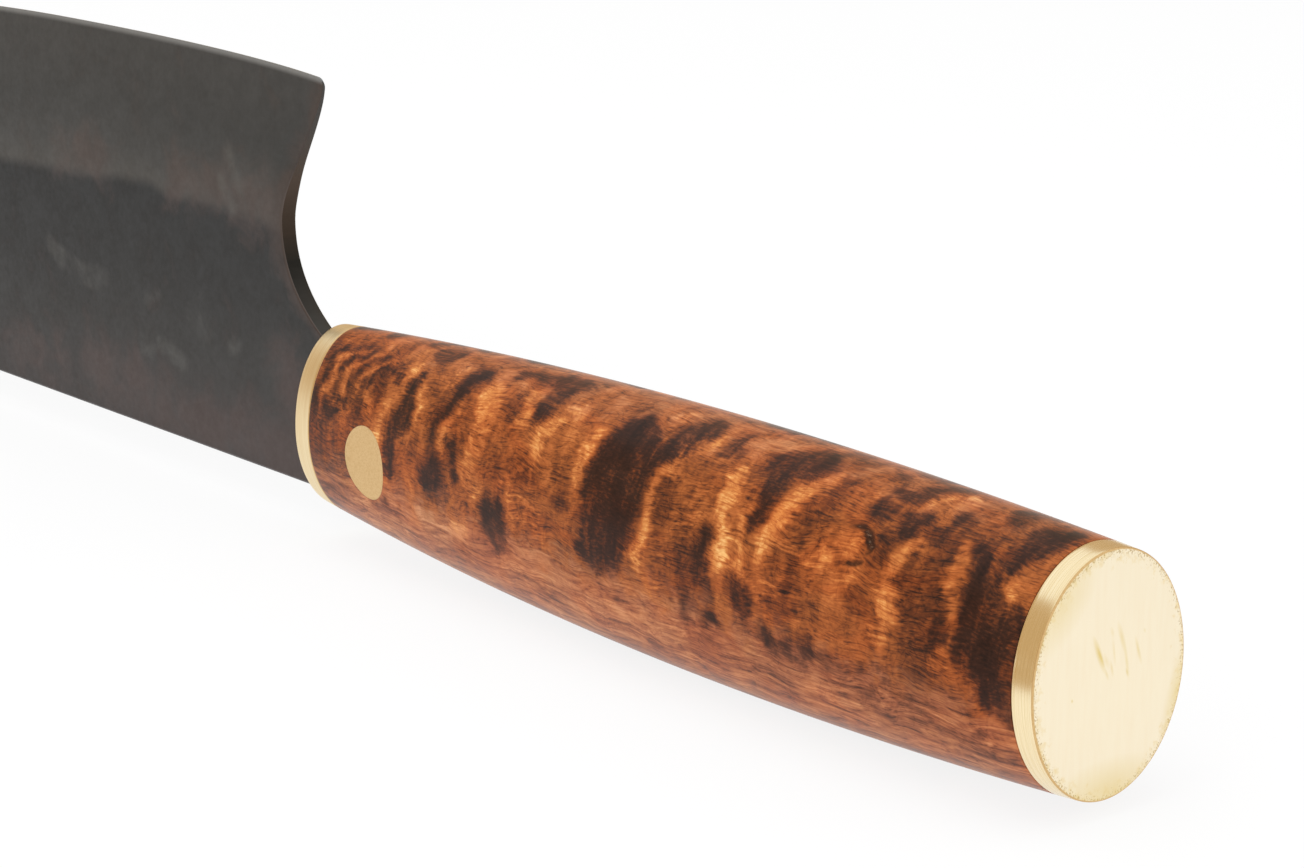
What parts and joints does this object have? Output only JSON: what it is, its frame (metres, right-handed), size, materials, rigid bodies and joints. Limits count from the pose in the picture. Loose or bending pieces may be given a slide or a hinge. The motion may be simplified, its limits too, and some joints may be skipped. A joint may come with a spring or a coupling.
{
  "type": "santoku knife",
  "caption": "Santoku kitchen knife with a dark forged blade, an oval figured-wood handle, brass plates at both ends of the wood and a flush brass pin.",
  "frame": {"origin": "on the level of the handle's lowest point, under the middle of the knife's length, in the plane of the blade", "axes": "+X along the knife towards the butt, +Y square to the blade's flats, +Z towards the cutting edge, as pictured"},
  "size_m": [0.2874, 0.0202, 0.052],
  "materials": {
    "forged_steel": "black forge scale, ground bevel with a warm grey patina",
    "satin_brass": "satin, worn bright",
    "figured_wood": "oiled burl, satin",
    "cured_resin": "clear amber epoxy"
  },
  "bodies": {
    "root": {"blade": "forged_steel", "front_plate": "satin_brass", "handle_block": "figured_wood", "handle_pin": "satin_brass", "end_plate": "satin_brass", "tang_bedding": "cured_resin", "end_plate_dowel_upper": "satin_brass", "end_plate_dowel_lower": "satin_brass"}
  },
  "joints": []
}
